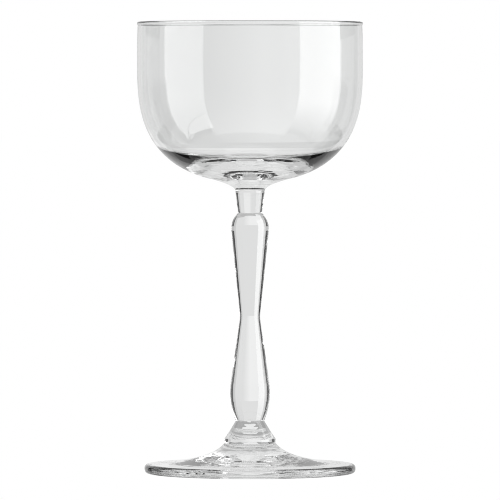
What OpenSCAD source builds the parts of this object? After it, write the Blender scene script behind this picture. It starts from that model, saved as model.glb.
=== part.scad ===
// Nick and nora glass: a deep bowl with a beaded rim on a double-baluster stem and a wide round foot.
// Five turned glass pieces stand on one axis and are joined face to face, as a hot glass joint is.
// The origin is the middle of the circle on which the foot rests, and +Z is the axis.

/* [Bowl] */
// Height of the bowl from its joint with the neck to the top of the rim
bowl_h = 56.0; // [50:0.5:70]
// Outside diameter at the widest ring of the bowl
bowl_d = 75.0; // [66:0.5:88]
// Height from the widest ring up to the top of the rim
belly_drop = 12.7; // [9:0.5:18]
// Wall thickness of the bowl
wall = 1.15; // [0.8:0.05:2]
// How far inside the widest ring the outside stands where the wall starts to thicken
thicken_in = 4.5; // [1:0.1:7]
// Glass between the lowest point of the inside and the level where the underside would close
floor_t = 5.5; // [3:0.1:8]
// Outside diameter of the rim bead
rim_d = 75.1; // [66:0.5:88]
// Radius of the rim bead's section
bead_r = 0.65; // [0.5:0.05:1]
// How far the rim bead stands out of the wall below it
bead_out = 0.25; // [0.1:0.02:0.4]
// Height from the neck joint to the level where the underside of the bowl would close
tip_h = 2.5; // [1.5:0.1:5]
// Diameter at which the underside of the bowl turns down to the neck
tip_d = 24.6; // [18:0.2:32]

/* [Neck] */
// Height of the neck
neck_h = 7.55; // [5:0.2:14]
// Diameter of the joint between bowl and neck
neck_top_d = 9.9; // [8:0.1:13]
// Diameter of the joint between neck and stem
stem_top_d = 8.0; // [7:0.1:11]

/* [Stem] */
// Height of the stem
stem_h = 69; // [60:0.5:90]
// Diameter at which the upper taper and the shoulder would meet
shoulder_d = 13.3; // [11:0.1:18]
// Height from that meeting up to the top of the stem
shoulder_drop = 2.5; // [1.5:0.1:5]
// Diameter at which the two tapers would meet at the waist
waist_d = 6.6; // [5:0.1:10]
// Height of the waist above the bottom of the stem
waist_z = 34.7; // [25:0.5:50]
// Diameter of the lower swelling
knop_d = 13.3; // [11:0.1:18]
// Height at which the lower swelling leaves its cylinder downwards
knop_low_z = 5.4; // [3:0.1:8]
// Height at which the lower swelling leaves its cylinder upwards
knop_high_z = 11.1; // [9:0.1:16]
// Diameter of the joint between stem and foot collar
stem_foot_d = 9.5; // [8:0.1:12]

/* [Foot collar] */
// Height of the collar
collar_h = 7.35; // [5:0.2:12]
// Height of the upright band at the bottom of the collar
collar_band_h = 1.45; // [0.8:0.1:3]
// Diameter of the joint between collar and foot
collar_d = 17; // [14:0.2:24]

/* [Foot] */
// Diameter of the foot
foot_d = 70.2; // [60:0.5:90]
// Height of the foot at its joint with the collar
foot_h = 10.1; // [8:0.2:14]
// Thickness of the foot where its rounded edge begins
lip_t = 3.1; // [2:0.1:4.5]
// Width of the rounded edge
lip_w = 1.6; // [1.2:0.1:3]
// Width of the flat ring on which the foot rests
rest_w = 1.5; // [1:0.1:4]
// Height of the hollow under the middle of the foot
kick_h = 2.0; // [0.5:0.1:3.5]

/* [Hidden] */
$fn = 128;
glass_colour = "azure";
glass_opacity = 0.6;

// Straight steps on a curved stretch of an outline, and on the underside of the bowl
curve_steps = 12;
belly_steps = 28;

// Powers of the belly's outline, across and along the axis
across_power = 2.25;
along_power = 3.0;

// Pulling points of the curves, as shares of the width and the height that each curve spans
tip_pull_share = 0.35;
mouth_pull_share = 0.5;
sole_pull_shares = [0.3, 0.6];
collar_pull_shares = [0.46, 0.48];
flare_pull_shares = [0.11, 0.52];
apron_pull_shares = [0.4, 0.12];
lip_level_share = 0.52;
// How much of its shorter side each corner of the stem gives to its rounding, from the bottom up
stem_round_shares = [0.74, 0.25, 0.05, 0.95];

// Level of each joint above the table
foot_top_z = foot_h;
collar_top_z = foot_top_z + collar_h;
stem_top_z = collar_top_z + stem_h;
neck_top_z = stem_top_z + neck_h;

// Point at share t of the curve that the points p pull
function pulled(p, t) =
    len(p) == 1 ? p[0] : pulled([for (i = [0 : len(p) - 2]) p[i] * (1 - t) + p[i + 1] * t], t);

// Points of that curve after its first one
function curve(p, steps = curve_steps) = [for (i = [1 : steps]) pulled(p, i / steps)];

// Point at distance d from a towards b
function towards(a, b, d) = a + (b - a) * d / norm(b - a);

// Curve that rounds the middle one of three corners
function rounding(a, b, c, share) =
    let (reach = share * min(norm(a - b), norm(c - b)))
    let (start = towards(b, a, reach))
    concat([start], curve([start, b, towards(b, c, reach)]));

// Belly outline from its widest ring down to radius end_r: an oval that its two powers fill out
function belly(ring_r, ring_z, depth, end_r, steps) =
    let (last = acos(pow(end_r / ring_r, across_power / 2)))
    [for (i = [0 : steps])
        let (a = last * i / steps)
        [ring_r * pow(cos(a), 2 / across_power), ring_z - depth * pow(sin(a), 2 / along_power)]];

function reversed(p) = [for (i = [len(p) - 1 : -1 : 0]) p[i]];

function tail(p) = [for (i = [1 : len(p) - 1]) p[i]];

// The outline p, which runs down towards the axis, moved inwards by d
function inset(p, d) =
    [for (i = [0 : len(p) - 1])
        let (way = p[min(i + 1, len(p) - 1)] - p[max(i - 1, 0)])
        p[i] + d * [way.y, -way.x] / norm(way)];

module turned(outline) {
    rotate_extrude() polygon(outline);
}

module bowl() {
    ring_r = bowl_d / 2;
    ring_z = bowl_h - belly_drop;
    joint_r = neck_top_d / 2;
    under = belly(ring_r, ring_z, ring_z - tip_h, tip_d / 2, belly_steps);
    tip_end = under[belly_steps];
    tip = curve([[joint_r, 0], [joint_r * (1 + tip_pull_share), tip_h], tip_end]);

    bead_centre = [rim_d / 2 - bead_r, bowl_h - bead_r];
    bead_start = -acos((bead_r - bead_out) / bead_r);
    bead = [for (i = [0 : curve_steps])
        let (a = bead_start + (180 - bead_start) * i / curve_steps)
        bead_centre + bead_r * [cos(a), sin(a)]];
    mouth = curve([[ring_r, ring_z], [ring_r, ring_z + belly_drop * mouth_pull_share], bead[0]]);

    // The inside leaves the even wall and sweeps down to a floor of thick glass
    side = inset(belly(ring_r, ring_z, ring_z - tip_h, ring_r - thicken_in, curve_steps), wall);
    corner = side[curve_steps];
    sole = [0, tip_h + floor_t];
    corner_reach = norm(corner - sole) * sole_pull_shares[0];
    corner_pull = towards(corner, side[curve_steps - 1], -corner_reach);
    sole_pull = [corner.x * sole_pull_shares[1], sole.y];
    inside = curve([corner, corner_pull, sole_pull, sole], 2 * curve_steps);
    throat = curve([bead[curve_steps], [ring_r - wall, ring_z + belly_drop * mouth_pull_share], side[0]]);

    color(glass_colour, glass_opacity)
        translate([0, 0, neck_top_z])
            turned(concat([[0, 0], [joint_r, 0]], tip, reversed(under), mouth, bead, throat, tail(side), inside));
}

module neck() {
    color(glass_colour, glass_opacity)
        translate([0, 0, stem_top_z])
            cylinder(h = neck_h, d1 = stem_top_d, d2 = neck_top_d);
}

module stem() {
    corners = [
        [stem_foot_d / 2, 0],
        [knop_d / 2, knop_low_z],
        [knop_d / 2, knop_high_z],
        [waist_d / 2, waist_z],
        [shoulder_d / 2, stem_h - shoulder_drop],
        [stem_top_d / 2, stem_h]
    ];
    rounded = [for (i = [1 : len(corners) - 2])
        each rounding(corners[i - 1], corners[i], corners[i + 1], stem_round_shares[i - 1])];

    color(glass_colour, glass_opacity)
        translate([0, 0, collar_top_z])
            turned(concat([[0, 0], corners[0]], rounded, [corners[5], [0, stem_h]]));
}

module foot_collar() {
    band_r = collar_d / 2;
    joint_r = stem_foot_d / 2;
    cone_h = collar_h - collar_band_h;
    pull = [
        joint_r + (band_r - joint_r) * collar_pull_shares[0],
        collar_band_h + cone_h * collar_pull_shares[1]
    ];
    side = curve([[band_r, collar_band_h], pull, [joint_r, collar_h]]);

    color(glass_colour, glass_opacity)
        translate([0, 0, foot_top_z])
            turned(concat([[0, 0], [band_r, 0], [band_r, collar_band_h]], side, [[0, collar_h]]));
}

module foot() {
    joint_r = collar_d / 2;
    edge_r = foot_d / 2;
    lip_r = edge_r - lip_w;
    reach = lip_r - joint_r;
    drop = foot_h - lip_t;
    lip_z = lip_t * lip_level_share;
    flare = [joint_r + reach * flare_pull_shares[0], foot_h - drop * flare_pull_shares[1]];
    apron = [joint_r + reach * apron_pull_shares[0], lip_t + drop * apron_pull_shares[1]];
    top = curve([[joint_r, foot_h], flare, apron, [lip_r, lip_t]], 2 * curve_steps);
    upper_lip = curve([[lip_r, lip_t], [edge_r, lip_t], [edge_r, lip_z]]);
    lower_lip = curve([[edge_r, lip_z], [edge_r, 0], [lip_r, 0]]);

    // The hollow is a shallow dome, part of a sphere through the resting ring's inner edge
    hollow_r = lip_r - rest_w;
    dome_r = (hollow_r * hollow_r + kick_h * kick_h) / (2 * kick_h);
    dome_angle = asin(hollow_r / dome_r);
    hollow = [for (i = [0 : curve_steps])
        let (a = dome_angle * (1 - i / curve_steps))
        [dome_r * sin(a), kick_h - dome_r * (1 - cos(a))]];

    color(glass_colour, glass_opacity)
        turned(concat([[0, foot_h], [joint_r, foot_h]], top, upper_lip, lower_lip, hollow));
}

bowl();
neck();
stem();
foot_collar();
foot();
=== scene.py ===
"""A clear nick and nora glass: five turned gathers of glass, joined hot, on a plain white floor.

Each visible piece is turned from the outline of its own solid in the frame, on a finer grid.
"""

import math

import bpy
import numpy as np
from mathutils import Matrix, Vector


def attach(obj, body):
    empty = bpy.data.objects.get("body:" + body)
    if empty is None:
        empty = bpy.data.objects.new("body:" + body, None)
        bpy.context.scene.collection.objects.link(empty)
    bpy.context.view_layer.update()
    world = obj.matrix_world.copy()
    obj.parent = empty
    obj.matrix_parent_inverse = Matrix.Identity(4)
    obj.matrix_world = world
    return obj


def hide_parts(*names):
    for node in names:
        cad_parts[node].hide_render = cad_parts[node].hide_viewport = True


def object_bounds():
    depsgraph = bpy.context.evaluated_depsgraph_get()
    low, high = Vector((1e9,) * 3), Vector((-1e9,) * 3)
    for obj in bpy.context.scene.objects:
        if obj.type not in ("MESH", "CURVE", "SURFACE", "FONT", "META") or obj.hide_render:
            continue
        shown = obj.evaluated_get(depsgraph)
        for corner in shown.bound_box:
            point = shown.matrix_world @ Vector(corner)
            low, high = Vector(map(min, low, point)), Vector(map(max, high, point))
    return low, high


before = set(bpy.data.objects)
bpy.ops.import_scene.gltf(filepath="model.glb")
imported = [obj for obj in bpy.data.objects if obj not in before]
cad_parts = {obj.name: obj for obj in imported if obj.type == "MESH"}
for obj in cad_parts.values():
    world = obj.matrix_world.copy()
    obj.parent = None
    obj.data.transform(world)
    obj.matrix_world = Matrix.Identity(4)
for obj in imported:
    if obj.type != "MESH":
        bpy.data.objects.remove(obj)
cad_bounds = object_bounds()

# The photograph's frame. Rows count down from its top, and its optical axis is at its middle
FRAME_PX = 500
RIM_ROW = 21.8
REST_ROW = 473.4
# The row that is level with the camera, and the camera's distance in pixels of this size
EYE_ROW = 104.0
DISTANCE_PX = 6190.0
SENSOR_MM = 36.0
CLIP_END = 100.0

FLOOR_SIZE = 40.0

# Limits on a light path, and the width of the pixel filter
BOUNCES = 32
REFLECTIONS = 8
FILTER_PX = 1.0

# The turned meshes: steps round the axis, and the longest step and turn along a curve of the outline
AROUND = 240
STEP = 0.0005
STEP_DEG = 2.0
LEAST_STEPS = 2
# A sharper corner than this stays a crease
CREASE_DEG = 28.0
# A point that turns less than this, in a side shorter than this, is left out
STRAIGHT_DEG = 0.02
LONG_SIDE = 0.006
# The grid on which vertices of one ring fall together, and the distance within which two places are one
SAME = 1e-6
MERGE = 3 * SAME
# The way in which an outline meets the axis
INWARDS = np.array([-1.0, 0.0])
# Each joint face is drawn back by this, so that no two faces lie in one plane
JOINT_GAP = 1e-6
# The turn from the neck out to the underside of the bowl: how far out it reaches, and its pull up the neck
TURN_R = 0.012
TURN_PULL = 0.0016

WHITE = (1.0, 1.0, 1.0, 1.0)
GLASS_COLOUR = (0.985, 0.99, 0.988, 1.0)
GLASS_IOR = 1.5
# Between two gathers that are fused there is nothing that bends light
FUSED_IOR = 1.0

# Waves that hot working leaves in the glass: their width across the turning and their height, then the
# levels between which they die out upwards, and those between which they begin again, less high.
# The bowl has them only near the neck, and the foot has none on its apron
CALM_WAVES = (0.006, 0.000003)
BOWL_WAVES = (0.0014, 0.0001, (0.0975, 0.102))
COLLAR_WAVES = (0.0013, 0.00006)
FOOT_WAVES = (0.0016, 0.00009, (0.0026, 0.0036), (0.0048, 0.0062))
AGAIN_SHARE = 0.35
# How many of them pass in one radian round the axis
WAVES_ROUND = 4.0

# Luminous panels round the glass, like the soft lamps, backdrops and dark cards of a studio. Each has
# its azimuth from and to, counted from straight behind the glass with its right side positive, its
# elevation from and to, its distance and its radiance. An uneven one also has the axis along which it
# changes, the two places between which it does, and its radiance at the first of them.
# A panel hides those behind it. One that is near stands in another direction from each part of the
# glass, so that it can serve one part alone
PANELS = [
    ("surround", -180, 180, -90, 90, 1.6, 0.5),
    ("ground", -180, 180, -90, -45, 1.5, 0.4),
    ("table", -180, 180, -90, -72, 1.45, 0.85),
    ("backdrop", -47, 47, -28, 33, 1.4, 0.6),
    ("backdrop_middle", -36, 36, -27, 26, 1.38, 0.74),
    ("backdrop_above", -47, 47, 36, 62, 0.3, 0.85),
    ("backdrop_behind_bowl", -18, 18, 8.5, 32, 0.2, 0.84, "X", -0.0172, 0.0053, 0.735),
    ("backdrop_behind_stem", -17, 14, -29, -6, 0.3, 0.87, "X", 0.07, 0.0, 0.74),
    ("left_strip", -33, -16, -35, 8, 0.15, 0.88),
    ("right_softbox", 74, 128, -45, 45, 1.3, 2.6, "Z", -0.84, -0.15, 0.0),
    ("left_softbox", -128, -74, -45, 45, 1.3, 0.75, "Z", -0.84, -0.15, 0.0),
    ("camera_side", 128, 232, -50, 60, 1.4, 0.7, "Z", -0.9, -0.05, 1.1),
    ("right_gap", 46, 76, 5, 30, 1.25, 0.01),
    ("left_gap", -76, -46, 5, 30, 1.25, 0.01),
    ("right_card", 46, 76, -35, -4, 0.15, 0.06),
    ("left_card", -76, -46, -35, -4, 0.15, 0.06),
]
PANEL_FACE_DEG = 4
LEAST_FACES = 2

low, high = (np.array(corner) for corner in cad_bounds)
height = high[2] - low[2]
pixel = height / (REST_ROW - RIM_ROW)


def outline(node):
    """Corners of a turned solid's outline, as radius and height, from its joint face or its lower one."""
    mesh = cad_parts[node].data
    co = np.zeros(len(mesh.vertices) * 3)
    mesh.vertices.foreach_get("co", co)
    co = co.reshape(-1, 3)
    places = np.stack([np.hypot(co[:, 0], co[:, 1]), co[:, 2]], axis=1)

    # Every ring of vertices is one spot of the outline
    spots = []
    for place in np.unique(np.round(places / SAME), axis=0) * SAME:
        if all(math.dist(place, spot) > MERGE for spot in spots):
            spots.append(place)
    spots = np.array(spots)
    spot_of = np.array([np.argmin(np.abs(spots - place).sum(axis=1)) for place in places])

    # Edges that leave a ring link its spot with the next one
    ends = np.zeros(len(mesh.edges) * 2, dtype=int)
    mesh.edges.foreach_get("vertices", ends)
    beside = [set() for _ in spots]
    for a, b in spot_of[ends.reshape(-1, 2)].tolist():
        if a != b:
            beside[a].add(b)
            beside[b].add(a)

    # The walk along them starts at a tip, which has one neighbour alone
    tips = [i for i, near in enumerate(beside) if len(near) == 1]
    walk = [min(tips, key=lambda i: (spots[i][0] < SAME, spots[i][1]))]
    while True:
        ahead = [i for i in beside[walk[-1]] if i not in walk]
        if not ahead:
            return spots[walk]
        walk.append(ahead[0])


def tightened(points):
    """The bowl's outline, with a turn out of the neck that leaves it upright, as the photograph's does."""
    end = int(np.argmax(points[:, 0] > TURN_R))
    pull = points[0] + np.array([0.0, TURN_PULL])
    share = np.linspace(0, 1, end + 1)[:, None]
    turn = (1 - share) ** 2 * points[0] + 2 * share * (1 - share) * pull + share ** 2 * points[end]
    return np.concatenate([turn, points[end + 1:]])


def turns(points):
    """Degrees by which the outline turns at each of its inner points."""
    way = np.diff(points, axis=0)
    angle = np.degrees(np.arctan2(way[:, 1], way[:, 0]))
    return np.abs((np.diff(angle) + 180) % 360 - 180)


def corners_only(points):
    """The outline without the points that lie inside its short straight sides."""
    keep = list(points)
    i = 1
    while i < len(keep) - 1:
        turn = turns(np.array(keep[i - 1:i + 2]))[0]
        if turn < STRAIGHT_DEG and math.dist(keep[i - 1], keep[i + 1]) < LONG_SIDE:
            del keep[i]
        else:
            i += 1
    return np.array(keep)


def spline(points):
    """A cubic spline through the points. It meets the axis squarely, and is free at any other end."""
    side = np.linalg.norm(np.diff(points, axis=0), axis=1)
    way = np.diff(points, axis=0) / side[:, None]
    count = len(points)
    matrix = np.eye(count)
    right = np.zeros((count, 2))
    for i in range(1, count - 1):
        matrix[i, i - 1:i + 2] = side[i - 1], 2 * (side[i - 1] + side[i]), side[i]
        right[i] = 6 * (way[i] - way[i - 1])
    if points[-1][0] < SAME:
        matrix[-1, -2:] = side[-1], 2 * side[-1]
        right[-1] = 6 * (INWARDS - way[-1])
    bend = np.linalg.solve(matrix, right)

    turn = np.concatenate([[0.0], turns(points), [0.0]])
    out = [points[0]]
    for i in range(count - 1):
        steps = math.ceil(max(LEAST_STEPS, side[i] / STEP, max(turn[i], turn[i + 1]) / STEP_DEG))
        for k in range(1, steps + 1):
            b = k / steps
            a = 1 - b
            sag = (a ** 3 - a) * bend[i] + (b ** 3 - b) * bend[i + 1]
            out.append(a * points[i] + b * points[i + 1] + sag * side[i] ** 2 / 6)
    return np.array(out)


def smooth(points):
    """The outline with each stretch between two creases made smooth, and the places of its creases."""
    points = corners_only(points)
    cuts = [0] + [int(i) + 1 for i in np.nonzero(turns(points) > CREASE_DEG)[0]] + [len(points) - 1]
    runs = [spline(points[a:b + 1]) for a, b in zip(cuts[:-1], cuts[1:])]
    creases = np.cumsum([len(run) - 1 for run in runs])[:-1]
    return np.concatenate([runs[0]] + [run[1:] for run in runs[1:]]), set(creases.tolist())


def surface(points):
    """What the outline sweeps: vertices, rings of them, faces, and the numbers of its flat end faces."""
    # The sign of the volume inside says which way round the faces look outwards
    radii, levels = points.T
    inner = radii[:-1]
    outer = radii[1:]
    way_round = np.sign(np.sum((inner ** 2 + inner * outer + outer ** 2) * np.diff(levels)))
    turn = way_round * np.arange(AROUND) * 2 * math.pi / AROUND

    verts = []
    rings = []
    for r, z in points:
        start = len(verts)
        if r < SAME:
            verts.append((0.0, 0.0, z))
            rings.append([start] * AROUND)
        else:
            verts.extend((r * math.cos(a), r * math.sin(a), z) for a in turn)
            rings.append(list(range(start, start + AROUND)))

    # A face that meets the axis has the same corner twice, and keeps it once
    faces = []
    for a, b in zip(rings[:-1], rings[1:]):
        for i in range(AROUND):
            j = (i + 1) % AROUND
            faces.append(list(dict.fromkeys((a[i], a[j], b[j], b[i]))))

    joined = []
    for ring in (rings[0][::-1], rings[-1]):
        if len(set(ring)) > 1:
            joined.append(len(faces))
            faces.append(ring)
    return verts, rings, faces, joined


def turned(node, materials):
    """A closed mesh turned from the node's outline. Its flat joint faces take the second material."""
    places = outline(node)
    if node == "bowl":
        places = tightened(places)
    points, creases = smooth(places)
    for end, beside in ((0, 1), (-1, -2)):
        if points[end][0] > SAME:
            points[end][1] += JOINT_GAP * np.sign(points[beside][1] - points[end][1])

    verts, rings, faces, joined = surface(points)
    mesh = bpy.data.meshes.new(node)
    mesh.from_pydata(verts, [], faces)
    for material in materials:
        mesh.materials.append(material)
    mesh.shade_smooth()
    for face in joined:
        mesh.polygons[face].use_smooth = False
        mesh.polygons[face].material_index = 1
    # Edges round a crease of the outline stay sharp
    sharp = {frozenset(pair) for c in creases for pair in zip(rings[c], rings[c][1:] + rings[c][:1])}
    for edge in mesh.edges:
        edge.use_edge_sharp = frozenset(edge.vertices) in sharp
    mesh.update()
    piece = bpy.data.objects.new(node + "_glass", mesh)
    bpy.context.collection.objects.link(piece)
    return piece


def clear_material(name, colour, ior):
    """Clear matter with a perfectly smooth surface."""
    material = bpy.data.materials.new(name)
    material.use_nodes = True
    shader = material.node_tree.nodes["Principled BSDF"]
    shader.inputs["Base Color"].default_value = colour
    shader.inputs["Roughness"].default_value = 0.0
    shader.inputs["IOR"].default_value = ior
    shader.inputs["Transmission Weight"].default_value = 1.0
    return material


def glass_material(name, wave_width, wave_height, wave_end=None, wave_again=None):
    """Clear glass. Waves, drawn out round the axis by the turning, bend what shows through it."""
    material = clear_material(name, GLASS_COLOUR, GLASS_IOR)
    tree = material.node_tree

    def step(kind, operation, *sources):
        """A node that works on its sources, each of them a number, a vector or another node's output."""
        node = tree.nodes.new(kind)
        if operation:
            node.operation = operation
        for i, source in enumerate(sources):
            if isinstance(source, bpy.types.NodeSocket):
                tree.links.new(source, node.inputs[i])
            else:
                node.inputs[i].default_value = source
        return node

    # The waves' place: the way out from the axis, the level and, as a fourth measure, the radius
    place = tree.nodes.new("ShaderNodeTexCoord").outputs["Object"]
    out = step("ShaderNodeVectorMath", "MULTIPLY", place, (1, 1, 0)).outputs["Vector"]
    radius = step("ShaderNodeVectorMath", "LENGTH", out).outputs["Value"]
    way = step("ShaderNodeVectorMath", "NORMALIZE", out).outputs["Vector"]
    around = step("ShaderNodeVectorMath", "MULTIPLY", way, (WAVES_ROUND,) * 3).outputs["Vector"]
    up = step("ShaderNodeVectorMath", "MULTIPLY", place, (0, 0, 1 / wave_width)).outputs["Vector"]
    around_and_up = step("ShaderNodeVectorMath", "ADD", around, up).outputs["Vector"]
    across = step("ShaderNodeMath", "DIVIDE", radius, wave_width).outputs["Value"]

    noise = tree.nodes.new("ShaderNodeTexNoise")
    noise.noise_dimensions = "4D"
    noise.inputs["Scale"].default_value = 1.0
    noise.inputs["Detail"].default_value = 0.0
    tree.links.new(around_and_up, noise.inputs["Vector"])
    tree.links.new(across, noise.inputs["W"])
    waves = noise.outputs["Fac"]

    if wave_end:
        level = step("ShaderNodeSeparateXYZ", None, place).outputs["Z"]
        share = step("ShaderNodeMapRange", None, level, *wave_end, 1.0, 0.0).outputs["Result"]
        if wave_again:
            share_again = step("ShaderNodeMapRange", None, level, *wave_again, 0.0, AGAIN_SHARE)
            share = step("ShaderNodeMath", "MAXIMUM", share, share_again.outputs["Result"]).outputs["Value"]
        waves = step("ShaderNodeMath", "MULTIPLY", waves, share).outputs["Value"]

    bump = tree.nodes.new("ShaderNodeBump")
    bump.inputs["Distance"].default_value = wave_height
    tree.links.new(waves, bump.inputs["Height"])
    tree.links.new(bump.outputs["Normal"], tree.nodes["Principled BSDF"].inputs["Normal"])
    return material


def joint_material():
    """Glass fused to glass: light passes the joint without bending."""
    return clear_material("fused_joint", WHITE, FUSED_IOR)


def glow_material(name, radiance, axis=None, start=0, end=0, start_radiance=0):
    """A glow that is even, or else changes along an axis between two places."""
    material = bpy.data.materials.new(name)
    material.use_nodes = True
    tree = material.node_tree
    tree.nodes.clear()
    glow = tree.nodes.new("ShaderNodeEmission")
    glow.inputs["Strength"].default_value = radiance
    if axis:
        place = tree.nodes.new("ShaderNodeTexCoord")
        parts = tree.nodes.new("ShaderNodeSeparateXYZ")
        ramp = tree.nodes.new("ShaderNodeMapRange")
        ramp.inputs["From Min"].default_value = start
        ramp.inputs["From Max"].default_value = end
        ramp.inputs["To Min"].default_value = start_radiance
        ramp.inputs["To Max"].default_value = radiance
        tree.links.new(place.outputs["Object"], parts.inputs["Vector"])
        tree.links.new(parts.outputs[axis], ramp.inputs["Value"])
        tree.links.new(ramp.outputs["Result"], glow.inputs["Strength"])
    out = tree.nodes.new("ShaderNodeOutputMaterial")
    tree.links.new(glow.outputs[0], out.inputs["Surface"])
    material.cycles.emission_sampling = "NONE"
    return material


def panel(name, az0, az1, el0, el1, radius, *glow):
    """A luminous part of a sphere round the middle of the glass. Only the glass sees it."""
    across = max(LEAST_FACES, round((az1 - az0) / PANEL_FACE_DEG))
    up = max(LEAST_FACES, round((el1 - el0) / PANEL_FACE_DEG))
    verts = []
    for az in np.radians(np.linspace(az0, az1, across + 1)):
        for el in np.radians(np.linspace(el0, el1, up + 1)):
            way = (math.sin(az) * math.cos(el), math.cos(az) * math.cos(el), math.sin(el))
            verts.append((radius * way[0], radius * way[1], radius * way[2] + height / 2))
    faces = []
    for i in range(across):
        for j in range(up):
            k = i * (up + 1) + j
            faces.append((k, k + up + 1, k + up + 2, k + 1))
    mesh = bpy.data.meshes.new(name)
    mesh.from_pydata(verts, [], faces)
    mesh.materials.append(glow_material(name, *glow))
    lamp = bpy.data.objects.new(name, mesh)
    bpy.context.collection.objects.link(lamp)
    lamp.visible_camera = False
    lamp.visible_diffuse = False
    lamp.visible_shadow = False


def floor():
    """A matt white floor, which the glass does not see."""
    bpy.ops.mesh.primitive_plane_add(size=FLOOR_SIZE, location=(0, 0, low[2]))
    plane = bpy.context.object
    plane.name = "floor"
    material = bpy.data.materials.new("white_floor")
    material.use_nodes = True
    shader = material.node_tree.nodes["Principled BSDF"]
    shader.inputs["Base Color"].default_value = WHITE
    shader.inputs["Roughness"].default_value = 1.0
    shader.inputs["Specular IOR Level"].default_value = 0.0
    plane.data.materials.append(material)
    plane.visible_glossy = False
    plane.visible_transmission = False


def white_world():
    """A white background, shown as white."""
    world = bpy.data.worlds.new("white_world")
    world.use_nodes = True
    background = world.node_tree.nodes["Background"]
    background.inputs["Color"].default_value = WHITE
    background.inputs["Strength"].default_value = 1.0
    bpy.context.scene.world = world
    bpy.context.scene.view_settings.view_transform = "Standard"


def camera():
    """The photograph's camera: level with the eye row, and turned down to the middle of the frame."""
    data = bpy.data.cameras.new("camera")
    data.sensor_width = SENSOR_MM
    data.lens = DISTANCE_PX * SENSOR_MM / FRAME_PX
    data.clip_end = CLIP_END
    eye = bpy.data.objects.new("camera", data)
    bpy.context.collection.objects.link(eye)
    pitch = math.atan((FRAME_PX / 2 - EYE_ROW) / DISTANCE_PX)
    eye.location = (0, -DISTANCE_PX * pixel, low[2] + (REST_ROW - EYE_ROW) * pixel)
    eye.rotation_euler = (math.pi / 2 - pitch, 0, 0)
    bpy.context.scene.camera = eye


def light_paths():
    """Paths that can cross all the glass. Few reflections keep the thick glass under the bowl dark."""
    cycles = bpy.context.scene.cycles
    cycles.max_bounces = BOUNCES
    cycles.transmission_bounces = BOUNCES
    cycles.transparent_max_bounces = BOUNCES
    cycles.glossy_bounces = REFLECTIONS
    cycles.filter_width = FILTER_PX


camera()
white_world()
floor()
light_paths()
for spec in PANELS:
    panel(*spec)

calm_glass = glass_material("clear_glass", *CALM_WAVES)
glass_of = {
    "bowl": glass_material("bowl_glass", *BOWL_WAVES),
    "neck": calm_glass,
    "stem": calm_glass,
    "foot_collar": glass_material("collar_glass", *COLLAR_WAVES),
    "foot": glass_material("foot_glass", *FOOT_WAVES),
}
joint = joint_material()
for node, glass in glass_of.items():
    piece = turned(node, (glass, joint))
    piece.visible_shadow = False
    piece.visible_diffuse = False
    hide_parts(node)
    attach(piece, "root")
